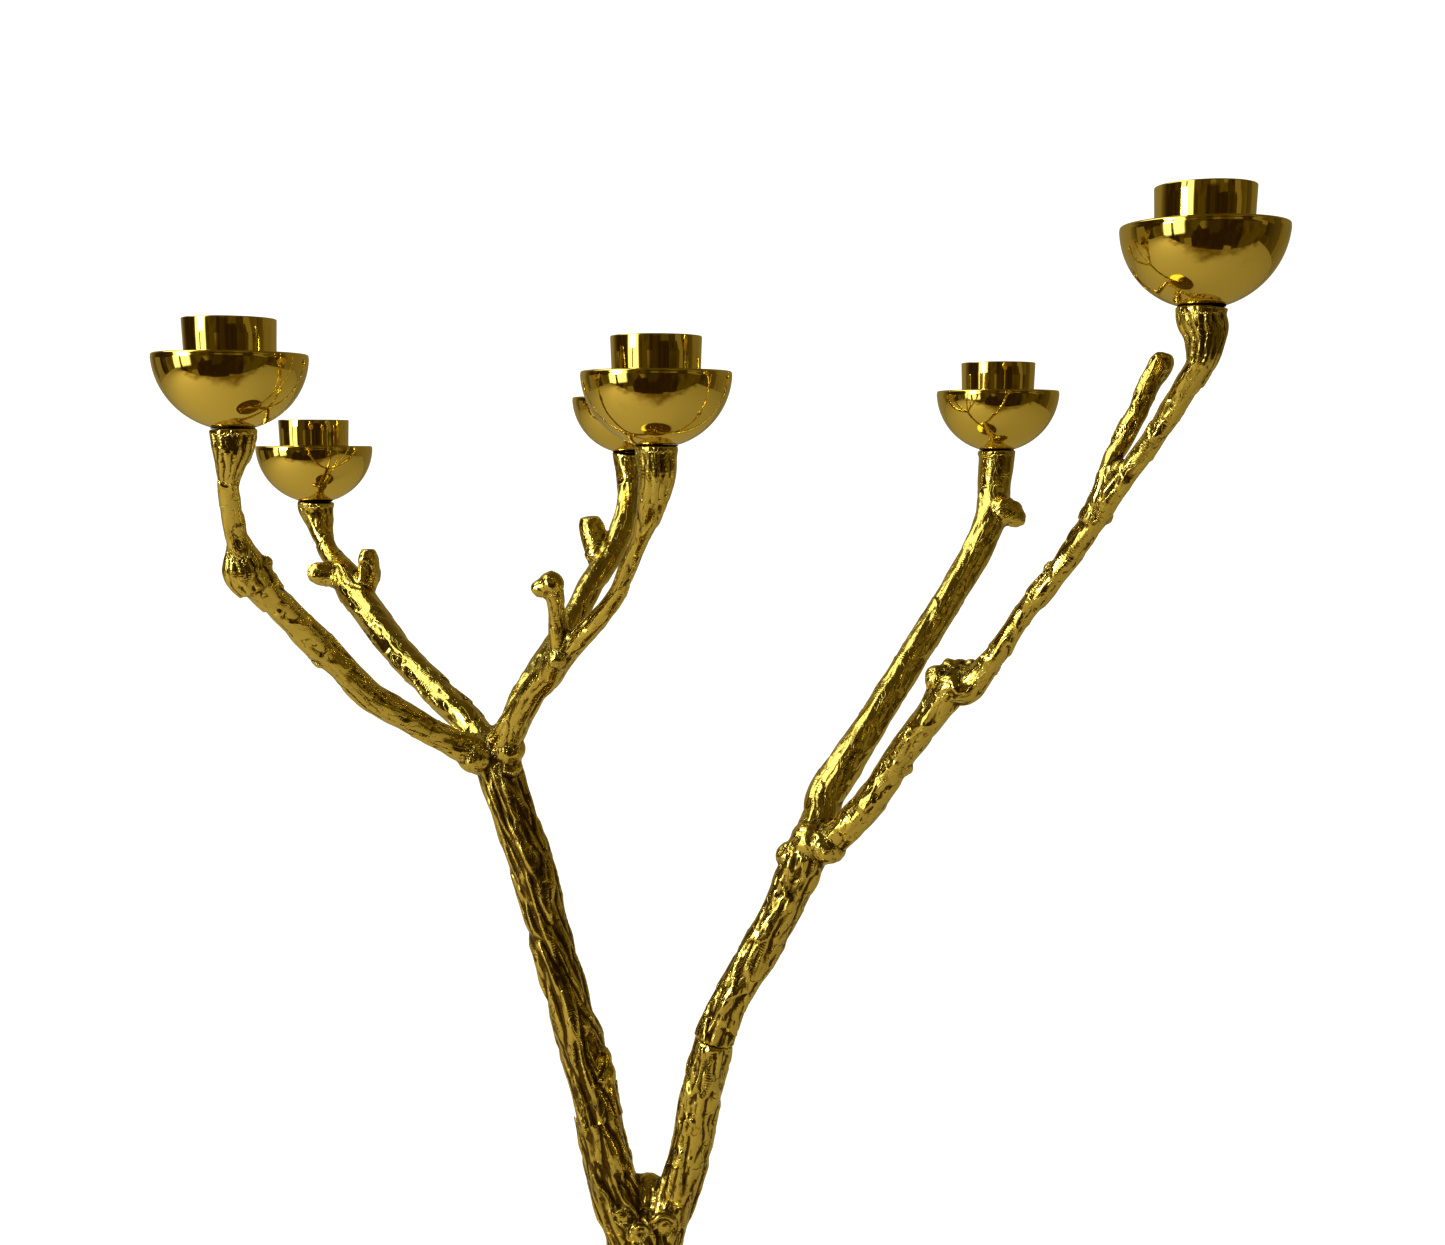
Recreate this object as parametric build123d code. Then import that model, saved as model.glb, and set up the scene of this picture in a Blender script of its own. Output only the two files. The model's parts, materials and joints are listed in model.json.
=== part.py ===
from build123d import *
import os
from math import sqrt

# Six-light branch candelabra in cast brass, millimetres, +Z up.
# Origin: centre of the felt underside, on the table. -Y is the front.

# Candle cups: a plain socket standing in a hemispherical drip bowl
candle_bore_radius = 11.25
candle_bore_depth = 22.0
socket_top_radius = 13.25
socket_low_radius = 12.9
socket_rise = 10.0
socket_shoulder_drop = 13.0
socket_foot_radius = 5.6
socket_lip_round = 0.4
bowl_radius = 22.0
bowl_wall = 1.6
bowl_seat_radius = 6.5
rim_round = 0.3

# Threaded stud that holds each cup on its arm, and the black washer under the bowl
stud_radius = 2.0
stud_clearance = 0.05
stud_depth_in_arm = 10.0
stud_depth_in_socket = 5.0
washer_radius = 6.3
washer_thickness = 0.4
cup_gap = 0.05

# Joinery between the castings
peg_radius = 1.8
peg_half_length = 7.0
limb_stud_radius = 2.6
limb_stud_half_length = 11.0
seat_distance = 13.0
seat_radius = 5.2
knuckle_radius = 8.6
twig_head_margin = 0.4

# Base
base_radius = 105.0
base_edge_height = 2.6
base_crown_height = 11.0
felt_thickness = 2.0
felt_radius = 99.0
bolt_radius = 4.0
bolt_head_radius = 6.5
bolt_head_height = 4.0
bolt_reach_in_trunk = 22.0
base_washer_radius = 8.0
base_washer_thickness = 1.2
counterbore_radius = 8.5
counterbore_depth = 5.2

bowl_seat_drop = sqrt(bowl_radius**2 - bowl_seat_radius**2)
arm_tip_drop = bowl_seat_drop + cup_gap + washer_thickness
base_top = felt_thickness + base_crown_height

# Rim centre of each bowl
CUPS = {
    "right_front": (152, -88, 438),
    "left_front": (-118, -55, 406),
    "centre_front": (5, -56, 401),
    "right_rear": (124, 61, 399),
    "left_rear": (-134, 97, 379),
    "centre_rear": (-13, 109, 398),
}

# The two knuckles where the arms are pegged on, and the way each arm leaves its knuckle
LEFT_KNUCKLE = Vector(-53, 12, 275)
RIGHT_KNUCKLE = Vector(52, -8, 246)
ARM_ROOTS = {
    "right_front": (RIGHT_KNUCKLE, Vector(14, -7, 10)),
    "right_rear": (RIGHT_KNUCKLE, Vector(11, 13, 24)),
    "left_front": (LEFT_KNUCKLE, Vector(-17, -9, 6)),
    "left_rear": (LEFT_KNUCKLE, Vector(-15, 15, 12)),
    "centre_front": (LEFT_KNUCKLE, Vector(11, -10, 17)),
    "centre_rear": (LEFT_KNUCKLE, Vector(10, 18, 18)),
}

# Each arm between its root and its flared tip, as (x, y, z, radius) stations
ARM_STATIONS = {
    "right_front": [
        (75, -21, 271, 4.9), (86, -29, 290, 4.9), (93, -34, 303, 5.4), (101, -39, 308, 4.8),
        (107, -45, 318, 3.6), (121, -56, 342, 3.5), (133, -67, 364, 3.2), (145, -78, 386, 3.0),
        (151, -87, 402, 3.8),
    ],
    "right_rear": [
        (72, 12, 280, 5.9), (85, 24, 299, 5.4), (99, 36, 318, 5.2), (112, 47, 336, 5.4),
        (122, 55, 354, 5.6),
    ],
    "left_front": [
        (-81, -5, 291, 4.7), (-98, -17, 309, 4.8), (-112, -30, 329, 5.0), (-119, -38, 341, 6.2),
        (-122, -46, 355, 3.4), (-121, -52, 368, 3.3),
    ],
    "left_rear": [
        (-82, 39, 297, 5.4), (-100, 58, 312, 5.7), (-115, 74, 325, 6.1), (-122, 83, 333, 5.0),
        (-128, 90, 339, 3.9), (-132, 95, 347, 5.0),
    ],
    "centre_front": [
        (-37, -3, 300, 4.4), (-29, -11, 312, 4.6), (-16, -21, 324, 3.3), (-6, -34, 341, 2.9),
        (1, -47, 357, 3.8),
    ],
    "centre_rear": [
        (-37, 46, 306, 5.1), (-25, 71, 327, 4.8), (-17, 87, 341, 5.0), (-13, 101, 356, 5.2),
    ],
}
ARM_TIP_RADIUS = {
    "right_front": 6.9,
    "right_rear": 6.9,
    "left_front": 7.0,
    "left_rear": 7.0,
    "centre_front": 6.6,
    "centre_rear": 6.6,
}

# Cut-off side twigs cast on the arms, as (x, y, z, radius) stations
TWIGS = {
    "right_front": [[(131, -66, 366, 2.8), (137, -66, 379, 2.3), (143, -65, 392, 2.3), (148, -63, 403, 3.0)]],
    "right_rear": [[(119, 54, 352, 4.8), (125, 53, 355, 4.8), (129, 52, 355, 4.0)]],
    "left_rear": [
        [(-115, 74, 322, 4.4), (-109, 73, 331, 4.2), (-109, 72, 338, 3.4)],
        [(-119, 79, 328, 4.8), (-126, 79, 331, 4.4), (-129, 78, 331, 4.0)],
    ],
    "centre_front": [[(-29, -12, 311, 4.0), (-29, -17, 323, 2.8), (-30, -21, 335, 3.2)]],
    "centre_rear": [[(-21, 82, 335, 4.0), (-25, 86, 343, 3.9), (-27, 88, 350, 3.4)]],
}

# The trunk forks low down; each limb is screwed on at its seam
TRUNK_STATIONS = [
    (0, 0, base_top, 19), (0, 0, base_top + 6, 14), (-1, 1, 36, 11.5), (-2, 1, 62, 10.6),
    (-1, 0, 90, 11.4), (0, 0, 108, 13), (1, 0, 122, 10),
]
FORK_LEFT_STATIONS = [(-3, 0, 106, 9), (-11, 0, 122, 8.4), (-16, 1, 137, 7.5), (-18, 2, 150, 7.6)]
FORK_RIGHT_STATIONS = [(2, 0, 106, 9), (9, -1, 126, 7.6), (13, -2, 145, 7.0), (17, -3, 163, 7.0), (21, -4, 180, 6.5)]
LEFT_LIMB_STATIONS = [(-18, 2, 150, 7.6), (-20, 3, 160, 7.6), (-28, 5, 188, 7.3), (-37, 8, 221, 7.4), (-46, 10, 252, 7.2)]
RIGHT_LIMB_STATIONS = [(21, -4, 180, 6.6), (25, -5, 191, 6.7), (33, -6, 206, 6.8), (43, -7, 226, 6.5)]


def direction(way):
    return way.normalized()


def rod(start, way, length, radius):
    """A round bar from start, running along way."""
    return Plane(origin=start, z_dir=way) * Cylinder(
        radius, length, align=(Align.CENTER, Align.CENTER, Align.MIN))


def disc(radius, bottom, height):
    """An upright disc about the Z axis, from bottom up."""
    return rod(Vector(0, 0, bottom), Vector(0, 0, 1), height, radius)


def branch(stations):
    """A smooth round casting through (x, y, z, radius) stations, flat at both ends."""
    points = [Vector(x, y, z) for x, y, z, _ in stations]
    sections = []
    for index, station in enumerate(stations):
        before = points[max(index - 1, 0)]
        after = points[min(index + 1, len(points) - 1)]
        way = after - before
        across = Vector(0, 1, 0).cross(way)
        sections.append(Plane(origin=points[index], x_dir=across, z_dir=way) * Circle(station[3]))
    return loft(sections)


def station(point, radius):
    return (point.X, point.Y, point.Z, radius)


def arm_seat(name):
    """Where an arm's flat root meets its knuckle, and the way the arm leaves it."""
    knuckle, leaving = ARM_ROOTS[name]
    way = direction(leaving)
    return knuckle + way * seat_distance, way


def arm_tip(name):
    x, y, z = CUPS[name]
    return Vector(x, y, z - arm_tip_drop)


def arm_peg(name):
    seat, way = arm_seat(name)
    return rod(seat - way * peg_half_length, way, 2 * peg_half_length, peg_radius)


def cup_stud(name):
    x, y, z = CUPS[name]
    bottom = z - arm_tip_drop - stud_depth_in_arm
    top = z - bowl_seat_drop + bowl_wall + stud_depth_in_socket
    return rod(Vector(x, y, bottom), Vector(0, 0, 1), top - bottom, stud_radius)


def arm(name):
    """One arm casting, from its flat root to the flared tip that carries the cup."""
    seat, way = arm_seat(name)
    tip = arm_tip(name)
    tip_radius = ARM_TIP_RADIUS[name]
    stations = [station(seat, seat_radius), station(seat + way * (peg_half_length + 1), seat_radius - 0.2)]
    stations += ARM_STATIONS[name]
    stations += [station(tip - Vector(0, 0, 6), tip_radius - 0.9), station(tip, tip_radius)]
    casting = branch(stations)
    for twig in TWIGS.get(name, []):
        casting += branch(twig)
        casting += Pos(*twig[-1][:3]) * Sphere(twig[-1][3] + twig_head_margin)
    return casting - arm_peg(name) - cup_stud(name)


def knuckle(centre, stations, names):
    """A limb casting ended by a ball, with a flat seat for each arm."""
    casting = branch(stations + [station(centre, knuckle_radius - 1.6)])
    casting += Pos(centre) * Sphere(knuckle_radius)
    for name in names:
        seat, way = arm_seat(name)
        casting += rod(centre, way, seat_distance, seat_radius)
    for name in names:
        casting -= arm_peg(name)
    return casting


def limb_stud(stations):
    """Threaded stud across the seam at the foot of a limb."""
    foot = Vector(*stations[0][:3])
    way = direction(Vector(*stations[1][:3]) - foot)
    return rod(foot - way * limb_stud_half_length, way, 2 * limb_stud_half_length, limb_stud_radius)


def seam_cut(stations):
    """Space beyond the seam at the foot of a limb, so the fork casting ends flush there."""
    foot = Vector(*stations[0][:3])
    way = direction(Vector(*stations[1][:3]) - foot)
    return rod(foot, way, 40, 20)


def trunk():
    """Trunk casting: root flare, forked head and the two short stumps up to the seams."""
    casting = branch(TRUNK_STATIONS)
    casting += branch(FORK_LEFT_STATIONS)
    casting += branch(FORK_RIGHT_STATIONS)
    casting -= seam_cut(LEFT_LIMB_STATIONS)
    casting -= seam_cut(RIGHT_LIMB_STATIONS)
    casting -= limb_stud(LEFT_LIMB_STATIONS)
    casting -= limb_stud(RIGHT_LIMB_STATIONS)
    return casting - disc(bolt_radius, base_top, bolt_reach_in_trunk)


def bowl():
    """Hemispherical drip bowl about its rim centre, drilled for the stud."""
    outer = Sphere(bowl_radius) - Pos(0, 0, bowl_radius) * Box(60, 60, 2 * bowl_radius)
    inner = Sphere(bowl_radius - bowl_wall)
    floor_cut = Pos(0, 0, -bowl_seat_drop + bowl_wall) * Box(60, 60, 60, align=(Align.CENTER, Align.CENTER, Align.MIN))
    seat_cut = Pos(0, 0, -bowl_seat_drop) * Box(60, 60, 60, align=(Align.CENTER, Align.CENTER, Align.MAX))
    shell = outer - (inner & floor_cut) - seat_cut
    shell = fillet(shell.faces().sort_by(Axis.Z)[-1].edges(), rim_round)
    return shell - disc(stud_radius + stud_clearance, -bowl_radius, bowl_radius)


def candle_socket():
    """Turned socket about the bowl's rim centre: bored for the candle, tapped underneath."""
    foot = -bowl_seat_drop + bowl_wall
    low_radius = socket_low_radius
    profile = Polyline(
        (0, foot), (socket_foot_radius, foot), (low_radius - 1, -socket_shoulder_drop - 1),
        (low_radius, -socket_shoulder_drop + 1), (low_radius, 0), (socket_top_radius, socket_rise), (0, socket_rise),
        close=True)
    body = revolve(Plane.XZ * make_face(profile), Axis.Z)
    body -= disc(candle_bore_radius, socket_rise - candle_bore_depth, candle_bore_depth)
    body = fillet(body.faces().sort_by(Axis.Z)[-1].edges().sort_by(SortBy.RADIUS)[-1], socket_lip_round)
    return body - disc(stud_radius + stud_clearance, foot, stud_depth_in_socket + 0.5)


def cup_washer():
    bottom = -arm_tip_drop
    return disc(washer_radius, bottom, washer_thickness) - disc(stud_radius, bottom, washer_thickness)


def base_dome():
    """Heavy turned base: a low polished dome with an undercut for the trunk bolt."""
    bottom = felt_thickness
    edge = bottom + base_edge_height
    profile = make_face([
        Line((0, bottom), (base_radius, bottom)),
        Line((base_radius, bottom), (base_radius, edge)),
        TangentArc((0, base_top), (base_radius, edge), tangent=(1, 0)),
        Line((0, base_top), (0, bottom)),
    ])
    dome = revolve(Plane.XZ * profile, Axis.Z)
    dome -= disc(counterbore_radius, bottom, counterbore_depth)
    return dome - disc(bolt_radius, bottom, base_top)


def base_bolt():
    seat = felt_thickness + counterbore_depth - base_washer_thickness
    shank = disc(bolt_radius, seat - 0.5, base_top + bolt_reach_in_trunk - seat + 0.5)
    return shank + disc(bolt_head_radius, seat - bolt_head_height, bolt_head_height)


def base_washer():
    bottom = felt_thickness + counterbore_depth - base_washer_thickness
    return disc(base_washer_radius, bottom, base_washer_thickness) - disc(bolt_radius, bottom, base_washer_thickness)


def all_parts():
    parts = {
        "base_felt": disc(felt_radius, 0, felt_thickness),
        "base_dome": base_dome(),
        "base_bolt": base_bolt(),
        "base_washer": base_washer(),
        "trunk": trunk(),
        "left_limb": knuckle(LEFT_KNUCKLE, LEFT_LIMB_STATIONS, ["left_front", "left_rear", "centre_front", "centre_rear"])
        - limb_stud(LEFT_LIMB_STATIONS),
        "right_limb": knuckle(RIGHT_KNUCKLE, RIGHT_LIMB_STATIONS, ["right_front", "right_rear"])
        - limb_stud(RIGHT_LIMB_STATIONS),
        "left_limb_stud": limb_stud(LEFT_LIMB_STATIONS),
        "right_limb_stud": limb_stud(RIGHT_LIMB_STATIONS),
    }
    for name, rim_centre in CUPS.items():
        parts["arm_" + name] = arm(name)
        parts["arm_peg_" + name] = arm_peg(name)
        parts["cup_stud_" + name] = cup_stud(name)
        parts["cup_washer_" + name] = Pos(*rim_centre) * cup_washer()
        parts["drip_bowl_" + name] = Pos(*rim_centre) * bowl()
        parts["candle_socket_" + name] = Pos(*rim_centre) * candle_socket()
    return parts


os.makedirs("parts", exist_ok=True)
for node, shape in all_parts().items():
    export_step(shape, "parts/" + node + ".step")
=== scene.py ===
"""Six-light branch candelabra in cast and turned brass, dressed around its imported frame."""
import json
import math

import bmesh
import bpy
from mathutils import Matrix, Vector


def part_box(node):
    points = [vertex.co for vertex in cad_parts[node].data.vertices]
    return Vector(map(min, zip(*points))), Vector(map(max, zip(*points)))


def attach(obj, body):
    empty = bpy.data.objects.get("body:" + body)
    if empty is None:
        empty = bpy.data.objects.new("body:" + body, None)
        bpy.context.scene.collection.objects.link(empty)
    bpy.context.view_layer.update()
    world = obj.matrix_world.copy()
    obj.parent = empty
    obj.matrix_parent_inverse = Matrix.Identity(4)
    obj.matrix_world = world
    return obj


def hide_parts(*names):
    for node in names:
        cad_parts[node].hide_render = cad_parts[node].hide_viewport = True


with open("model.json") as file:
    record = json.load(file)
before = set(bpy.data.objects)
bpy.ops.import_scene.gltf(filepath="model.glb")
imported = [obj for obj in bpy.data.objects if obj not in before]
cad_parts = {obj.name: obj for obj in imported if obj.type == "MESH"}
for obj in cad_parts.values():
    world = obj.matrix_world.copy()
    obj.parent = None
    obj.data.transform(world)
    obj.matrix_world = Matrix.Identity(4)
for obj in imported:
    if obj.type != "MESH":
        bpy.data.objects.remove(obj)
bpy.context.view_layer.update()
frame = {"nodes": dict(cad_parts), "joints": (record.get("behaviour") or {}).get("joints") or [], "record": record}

MM = 0.001
VECTOR = "FLOAT_VECTOR"

# Castings: grid of the cast skin, and how far the parts run past a seam before they are cut there
SKIN_STEP = 0.5 * MM
GUIDE_STEP = 0.6 * MM
GUIDE_SIDES = 40
SEAM_OVERRUN = 2.5 * MM
SEAM_REACH = 8.5 * MM
FAR_END = 1.0
RELIEF_SEED = 1.0
HOLLOW_DEPTH = 0.19 * MM

# Relief styles: depth in millimetres of lengthwise bark plates, chiselled facets, slow lumps and flutes
BARK = (0.62, 0.20, 0.26, 0.0)
SLENDER = (0.34, 0.22, 0.14, 0.10)
CHASED = (0.22, 0.66, 0.26, 0.0)
POLISHED = (0.20, 0.40, 0.12, 0.0)
HAMMERED = (0.10, 0.85, 0.12, 0.0)
FLUTED = (0.16, 0.12, 0.10, 0.62)
NECK = (0.14, 0.14, 0.08, 0.30)
KNOT = (0.16, 0.42, 0.10, 0.0)
CHISELLED = (0.40, 0.85, 0.26, 0.0)
CROTCH_FACE = (0.24, 0.50, 0.20, 0.34)
PLAIN = (0.08, 0.10, 0.02, 0.0)

# Knuckle centres, where the arms spring from
LEFT_KNUCKLE = (-53, 12, 275)
RIGHT_KNUCKLE = (52, -8, 246)

# Limbs as (x, y, z, radius) stations in millimetres, from the fork up
TRUNK = [
    (0, 0, 13, 15.5), (0, 0, 17, 14.2), (-1, 1, 26, 12.2), (-1, 1, 38, 11.2), (-2, 1, 54, 10.6),
    (-2, 1, 70, 10.7), (-2, 0, 86, 11.2), (-2, 0, 99, 12), (-2, 0, 108, 11.8), (-1.5, 0, 115, 10),
    (-1, 0, 120, 6),
]
CROTCH = [
    (-1.8, 1.5, 104, 9.4), (-1.8, 2.5, 114, 8.2), (-1.6, 2.5, 121, 7.6), (-1.5, 2, 124.5, 7),
    (-1.4, 1.5, 126.8, 5), (-1.4, 1, 128.2, 2.4),
]
LEFT_LIMB = [
    (-3, 0, 98, 9), (-8.5, 0, 113, 9.2), (-13, 1, 126, 8.7), (-16, 1, 137, 8.2), (-18.5, 2, 150, 8),
    (-22, 4, 166, 8), (-25, 5, 177, 7.8), (-28, 5, 187, 7.5), (-32, 6, 204, 7.3), (-37, 8, 221, 7.1),
    (-41.5, 9, 238, 7.7), (-46, 10, 252, 7.4), (-50, 11, 264, 7.6), (-53, 12, 275, 7.8),
]
RIGHT_FOOT = [
    (-0.6, 0, 98, 8.2), (3.8, -1, 112, 8), (8.2, -1, 124, 7.4), (12.5, -2, 137, 7.1),
    (16.5, -3, 158, 6.9), (21, -4, 180, 6.4),
]
RIGHT_LIMB = [
    (21.4, -4, 180, 6.9), (23.6, -4, 187, 6.8), (26.6, -5, 194, 6.4), (30.5, -5, 201, 6.6),
    (38, -6, 215, 6.8), (46, -7, 231, 6.7), (52, -8, 246, 7.6),
]

# Arms between their root seat and their tip, in the same units
ARMS = {
    "right_front": [
        (67.5, -17, 260, 5.4), (75, -21, 271, 4.9), (80.5, -25, 282, 4.8), (85.5, -29, 290, 5),
        (89.5, -32, 297, 5), (92, -34, 302, 5.5), (94.5, -36, 306, 5.8), (99, -38, 306, 5.4),
        (102, -40, 309, 4.5), (107.3, -45, 318, 3.6), (114.3, -50, 331, 3.4), (117.3, -53, 336, 3.7),
        (121.2, -56, 342, 3.4), (127.8, -61, 353, 3.6), (133, -67, 364, 3.5), (136.4, -70, 370, 3.5),
        (141.8, -75, 379, 3.3), (146, -79, 387, 3.4), (149.6, -84, 396, 3.7), (151.9, -87, 401, 4.2),
        (153, -88, 404.8, 4.9), (153.2, -88, 410.5, 6.1),
    ],
    "right_rear": [
        (58.8, 2, 263, 6.4), (71.5, 12, 280, 5.8), (85.2, 24, 299, 5.3), (98.8, 35.5, 317.5, 5.2),
        (112, 46.5, 336, 5.4), (118, 51, 346, 5.5), (121.5, 55, 354, 5.8), (122.9, 58.5, 360, 5.9),
        (123.4, 61, 366, 6.1), (123.8, 61, 371, 6.4),
    ],
    "left_front": [
        (-67, 5, 280.6, 5), (-74, 0, 285.6, 4.7), (-81, -5, 291.3, 4.7), (-89, -10, 297.4, 4.9),
        (-94, -14, 303.5, 4.9), (-98, -17, 309.5, 4.6), (-102, -20, 315, 5), (-107, -25, 322, 4.8),
        (-112, -30, 329, 4.9), (-116, -34, 335, 5.2), (-119, -38, 341, 6.2), (-120.3, -40, 345, 5.4),
        (-121, -43, 350, 4), (-121.6, -45, 354, 3.2), (-121.4, -48, 360, 3.2), (-121, -51, 366, 3),
        (-120.4, -53, 370, 3.3), (-119.4, -54.5, 374, 4.4), (-118.4, -55, 378, 5.8),
    ],
    "left_rear": [
        (-66, 24, 286, 5.5), (-74, 31, 291, 5.3), (-82, 39, 297, 5.4), (-91.5, 48, 303.6, 5.4),
        (-100.5, 58, 311.6, 5.7), (-108, 66, 319, 6), (-115, 74, 325, 6.2), (-119, 79, 330, 5.9),
        (-123, 84.5, 334, 4.7), (-127.3, 89.5, 338, 3.8), (-130.6, 93.5, 344, 4.2), (-132.6, 96, 350, 5.5),
    ],
    "centre_front": [
        (-43, 2, 291.5, 4.8), (-38, -3, 299, 4.5), (-33, -7, 305, 4.5), (-29.5, -11, 310.5, 4.7),
        (-24, -15, 316, 4), (-16, -21, 324, 3.2), (-9.5, -28, 333, 2.7), (-6, -34, 340, 2.6),
        (-1.5, -41, 350, 3), (1.3, -47, 357, 3.7), (3.5, -52, 364, 4.7), (5, -55.5, 371, 5.5),
    ],
    "centre_rear": [
        (-45, 27, 291, 5.5), (-42, 34, 297, 5.2), (-37, 46, 306, 4.9), (-30, 61, 318, 4.6),
        (-25.5, 71, 327, 4.7), (-21, 79, 334, 4.8), (-17, 87, 341, 5), (-14, 94, 349, 4.9),
        (-12.4, 101, 356, 5), (-12, 107, 364, 5.5),
    ],
}
TIP_RADIUS = {"left_rear": 7.1, "centre_front": 6.5, "centre_rear": 6.5}
USUAL_TIP_RADIUS = 6.9
ARM_STYLE = {
    "right_front": CHASED, "right_rear": POLISHED, "left_front": CHASED, "left_rear": HAMMERED,
    "centre_front": SLENDER, "centre_rear": POLISHED,
}
TIP_STYLE = {
    "left_front": FLUTED, "right_front": FLUTED, "left_rear": NECK, "centre_front": NECK,
    "right_rear": PLAIN,
}

# Ends of the arms: girth at the root, reach into the knuckle, length of the dressed tip and its filed face
ROOT_RADIUS = {"right_rear": 6.3}
USUAL_ROOT_RADIUS = 5.4
ROOT_REACH = 13 * MM
TIP_RUN = 15 * MM
TIP_FACE = 1.6 * MM

# Station of the left limb at which it is screwed onto the trunk
LEFT_SEAM_STATION = 4

# Cut-off side twigs cast on the arms
TWIGS = {
    "right_front": [[
        (129.2, -64, 358, 3.4), (131.9, -66.4, 367, 3.3), (134.6, -66.3, 375.7, 3.2),
        (137, -66, 379.6, 3.1), (139.4, -65.7, 384.1, 3.1), (141.7, -65.3, 388.9, 3),
        (143.5, -64.9, 393.8, 3), (145.5, -64.3, 397.8, 3.1), (147.6, -63.6, 401, 3.5),
        (149, -63.2, 403.6, 3.5), (149.7, -63, 405.6, 2.3),
    ]],
    "left_rear": [
        [(-118, 79, 328, 5), (-125, 79, 330.5, 4.8), (-129.4, 78, 331.2, 4.5), (-132.4, 78, 331.2, 3.2)],
        [(-113, 75, 321, 4.8), (-109, 73, 330, 4.5), (-108.6, 72, 337.5, 4), (-108.6, 72, 340.8, 2.6)],
    ],
    "centre_front": [
        [(-28.6, -11, 310, 4.4), (-28.4, -15, 318, 3.6), (-28.6, -17, 324.4, 3.1), (-29.1, -20, 331, 3.1),
         (-29.9, -21, 335, 3.5)],
        [(-28.5, -9, 313, 4.2), (-28.8, -13.5, 312.2, 3.6), (-28.9, -17, 311.3, 3),
         (-28.9, -18.6, 310.9, 1.8)],
    ],
    "centre_rear": [
        [(-21.6, 82, 333, 5.2), (-24.4, 87, 341, 5), (-26.4, 89, 348.6, 4.7), (-26.9, 89, 352, 3.6)]],
}
BUD = [
    (-118.6, -37.4, 336, 5.4), (-120.6, -38.8, 340.5, 6.6), (-121, -40.3, 344.5, 6.2),
    (-121.3, -42, 348.5, 4.3), (-121.5, -43.5, 351.5, 3.2),
]

# Ring scars of cut-off twigs on the front of the trunk as (x, y, z, radius)
SCARS = [(-3.4, -10.4, 115, 2.2), (4.2, -8.6, 116.6, 3.4), (3.4, -10.6, 66, 3.2)]

# Root spurs: bearing and reach of each, and the (share of reach, height, radius) they all follow
SPURS = ((12, 23), (80, 26), (158, 22), (225, 25), (300, 24))
SPUR_LINE = ((0.30, 26, 4.6), (0.42, 15, 5.2), (0.62, 6.5, 4.8), (0.84, 2.6, 3.8), (1.0, 1.0, 2.2))
SPUR_BEND = 0.14

# Turned parts: hole in each cup and washer for its stud, the socket's straight wall, and the roundings
STUD_HOLE = 2.05 * MM
STUD_TAP = 5.5 * MM
SOCKET_LOW_RADIUS = 12.9 * MM
SOCKET_LIP = 0.35 * MM
BASE_EDGE = 2.6 * MM
BASE_ROUND = 0.9 * MM
FELT_ROUND = 0.6 * MM
SHARP_EDGE = math.radians(38)

# Eye place in millimetres, its downward tip in degrees, and the lens
EYE = (24.1, -512.2, 381.3)
EYE_TIP = 6.66
LENS = 38.94

# What the brass mirrors: linear light of the room round the table
DIM_ROOM = (0.030, 0.016, 0.0, 1)
MID_ROOM = (0.10, 0.074, 0.008, 1)
WARM_ROOM = (0.22, 0.18, 0.07, 1)
TAN_WALL = (0.17, 0.135, 0.05, 1)
PALE_WALL = (0.27, 0.23, 0.13, 1)
CEILING = (0.075, 0.055, 0.012, 1)
DAYLIGHT = (1.9, 2.0, 1.6, 1)
# Table colours that only the brass sees: a lit copy, and a copy in painted shade towards the eye
LIT_TABLE = (0.54, 0.475, 0.32, 1)
SHADED_TABLE = (0.20, 0.14, 0.035, 1)

# Burls, brazed beads and broken knots as (x, y, z, radius)
BURLS = {
    "trunk": [
        (-4, -5, 112.5, 6.2), (4.6, -4.4, 115.5, 5.4), (-10, -4.4, 119, 4.8), (-7, 8, 70, 5.4),
        (6, -5, 52, 6.2), (-9, -2, 84, 5.2),
    ],
    "left_limb": [
        (-19.3, 3.4, 164.5, 7), (-20.6, 3.8, 169.5, 6.6), (-59.5, 8.2, 275.5, 6.6), (-48, 8, 277.5, 5.4),
        (-49.4, 9.4, 270.6, 5.8),
    ],
    "right_limb": [(46.9, -7, 244.6, 5.2), (58.3, -11.8, 249.4, 6.6), (53.4, -8.5, 249.5, 7.4)],
    "right_front": [
        (90.8, -35, 308, 4.6), (94.2, -34.5, 311.4, 3.1), (97.4, -33.4, 310.8, 3.3),
        (99, -38.4, 308.8, 3.4), (100.6, -35.5, 311.8, 2.6), (103.6, -41.6, 312, 1.9),
        (104.9, -42.8, 315, 1.6), (80.5, -24, 279, 4.2), (120.5, -55.5, 344, 2.4),
        (133.4, -64.5, 359.4, 2.6),
    ],
    "right_rear": [(125.4, 53, 356, 5.6), (128.2, 52.2, 355, 4.7), (129.8, 52, 353.4, 3.7)],
    "left_front": [(-115.4, -38, 343.5, 2.9), (-103, -20, 313, 3.8)],
    "left_rear": [(-112, 74, 324, 5)],
    "centre_front": [(-29.9, -21, 336.2, 4.1), (-33.4, -20.6, 334.8, 3.1)],
    "centre_rear": [(-24, 84, 338, 4.4)],
}


# ---- node helpers

def fill(tree, made, inputs):
    """Sets or links a node's inputs by name or number."""
    for key, value in inputs.items():
        if isinstance(value, bpy.types.NodeSocket):
            tree.links.new(value, made.inputs[key])
        else:
            made.inputs[key].default_value = value


def node(tree, kind, inputs=None, **settings):
    """A new node with its settings and inputs."""
    made = tree.nodes.new(kind)
    for key, value in settings.items():
        setattr(made, key, value)
    fill(tree, made, inputs or {})
    return made


def output(tree, kind, inputs=None, **settings):
    """The first output of a new node."""
    return node(tree, kind, inputs, **settings).outputs[0]


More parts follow.
